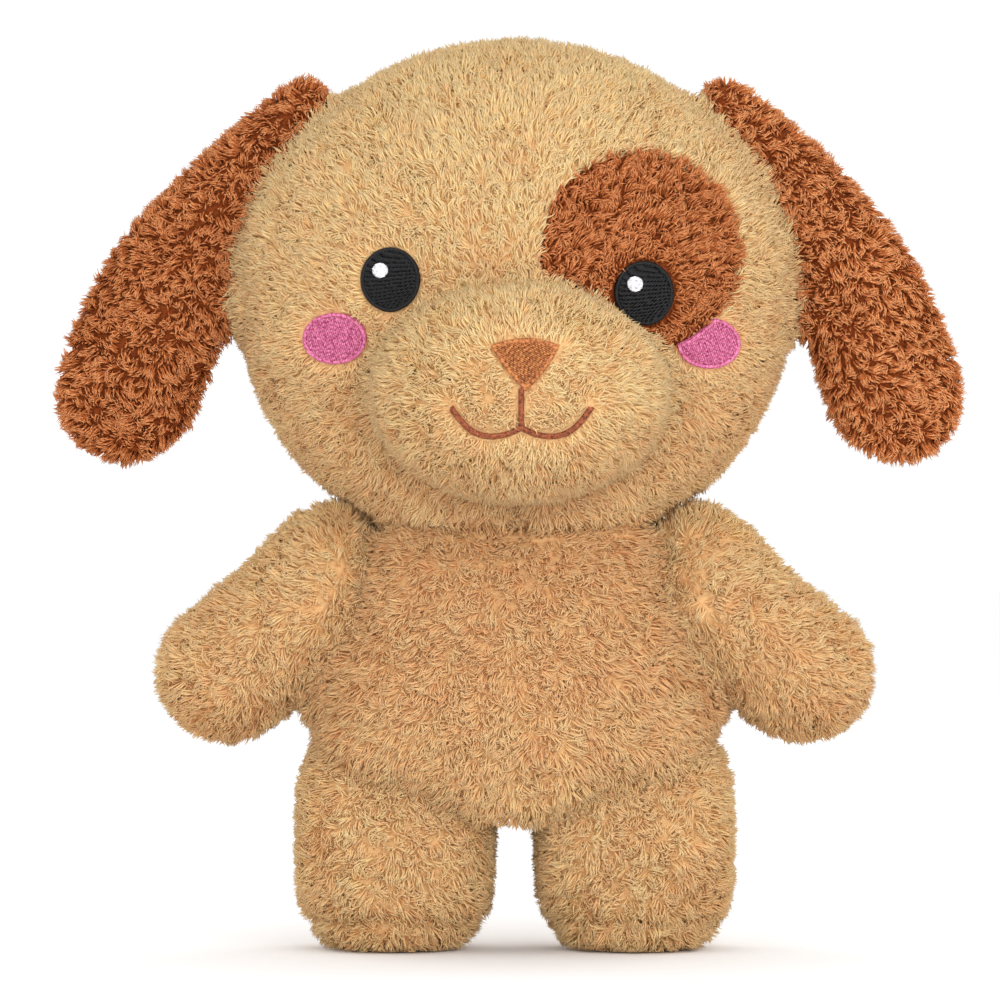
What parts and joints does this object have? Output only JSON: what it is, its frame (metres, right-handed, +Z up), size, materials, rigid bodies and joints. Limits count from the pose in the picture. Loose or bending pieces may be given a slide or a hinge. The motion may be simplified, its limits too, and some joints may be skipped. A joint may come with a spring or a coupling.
{
  "type": "plush dog",
  "caption": "Standing plush dog with a large round head, stuffed muzzle, hanging brown ears, a brown eye patch, embroidered face, stubby arms and flat-soled legs.",
  "frame": {"origin": "on the floor under the middle of the whole toy, midway between the two soles from side to side and 10 mm in front of the plane of the side seams", "axes": "+Z up; the dog faces -Y; +X is the dog's own left"},
  "size_m": [0.2526, 0.126, 0.2525],
  "materials": {
    "cream_plush": "matte",
    "tan_plush": "matte",
    "brown_plush": "matte",
    "black_thread": "satin",
    "white_thread": "satin",
    "pink_thread": "satin",
    "brown_thread": "satin",
    "fibre_fill": "matte"
  },
  "bodies": {
    "torso": {"torso_front_panel": "tan_plush", "torso_back_left_panel": "tan_plush", "torso_back_right_panel": "tan_plush", "torso_stuffing": "fibre_fill"},
    "head": {"head_front_panel": "cream_plush", "head_back_left_panel": "cream_plush", "head_back_right_panel": "cream_plush", "eye_patch": "brown_plush", "muzzle_panel": "cream_plush", "head_stuffing": "fibre_fill", "muzzle_stuffing": "fibre_fill", "eye_left": "black_thread", "eye_right": "black_thread", "eye_highlight_left": "white_thread", "eye_highlight_right": "white_thread", "cheek_left": "pink_thread", "cheek_right": "pink_thread", "nose": "brown_thread", "mouth": "brown_thread"},
    "arm_left": {"arm_left_front_panel": "tan_plush", "arm_left_back_panel": "tan_plush", "arm_left_stuffing": "fibre_fill"},
    "leg_left": {"leg_left_front_panel": "tan_plush", "leg_left_back_panel": "tan_plush", "leg_left_sole": "tan_plush", "leg_left_stuffing": "fibre_fill"},
    "ear_left": {"ear_left_front_panel": "brown_plush", "ear_left_back_panel": "brown_plush", "ear_left_stuffing": "fibre_fill"},
    "arm_right": {"arm_right_front_panel": "tan_plush", "arm_right_back_panel": "tan_plush", "arm_right_stuffing": "fibre_fill"},
    "leg_right": {"leg_right_front_panel": "tan_plush", "leg_right_back_panel": "tan_plush", "leg_right_sole": "tan_plush", "leg_right_stuffing": "fibre_fill"},
    "ear_right": {"ear_right_front_panel": "brown_plush", "ear_right_back_panel": "brown_plush", "ear_right_stuffing": "fibre_fill"}
  },
  "joints": [
    {"name": "head_nod", "type": "hinge", "parent": "torso", "child": "head", "pos_m": [0, 0.01, 0.1525], "axis": [1, 0, 0], "range_deg": [-12, 12], "stiffness_Nm_per_rad": 0.4},
    {"name": "ear_left_swing", "type": "hinge", "parent": "head", "child": "ear_left", "pos_m": [0.08194, 0.01, 0.21284], "axis": [0.4067, 0, -0.9135], "range_deg": [-45, 60], "stiffness_Nm_per_rad": 0.02},
    {"name": "arm_left_swing", "type": "hinge", "parent": "torso", "child": "arm_left", "pos_m": [0.052, 0.01, 0.097], "axis": [-1, 0, 0], "range_deg": [-25, 80], "stiffness_Nm_per_rad": 0.05},
    {"name": "leg_left_swing", "type": "hinge", "parent": "torso", "child": "leg_left", "pos_m": [0.0345, 0.01, 0.03], "axis": [-1, 0, 0], "range_deg": [-25, 45], "stiffness_Nm_per_rad": 0.4},
    {"name": "ear_right_swing", "type": "hinge", "parent": "head", "child": "ear_right", "pos_m": [-0.08194, 0.01, 0.21284], "axis": [0.4067, 0, 0.9135], "range_deg": [-45, 60], "stiffness_Nm_per_rad": 0.02},
    {"name": "arm_right_swing", "type": "hinge", "parent": "torso", "child": "arm_right", "pos_m": [-0.052, 0.01, 0.097], "axis": [-1, 0, 0], "range_deg": [-25, 80], "stiffness_Nm_per_rad": 0.05},
    {"name": "leg_right_swing", "type": "hinge", "parent": "torso", "child": "leg_right", "pos_m": [-0.0345, 0.01, 0.03], "axis": [-1, 0, 0], "range_deg": [-25, 45], "stiffness_Nm_per_rad": 0.4}
  ]
}
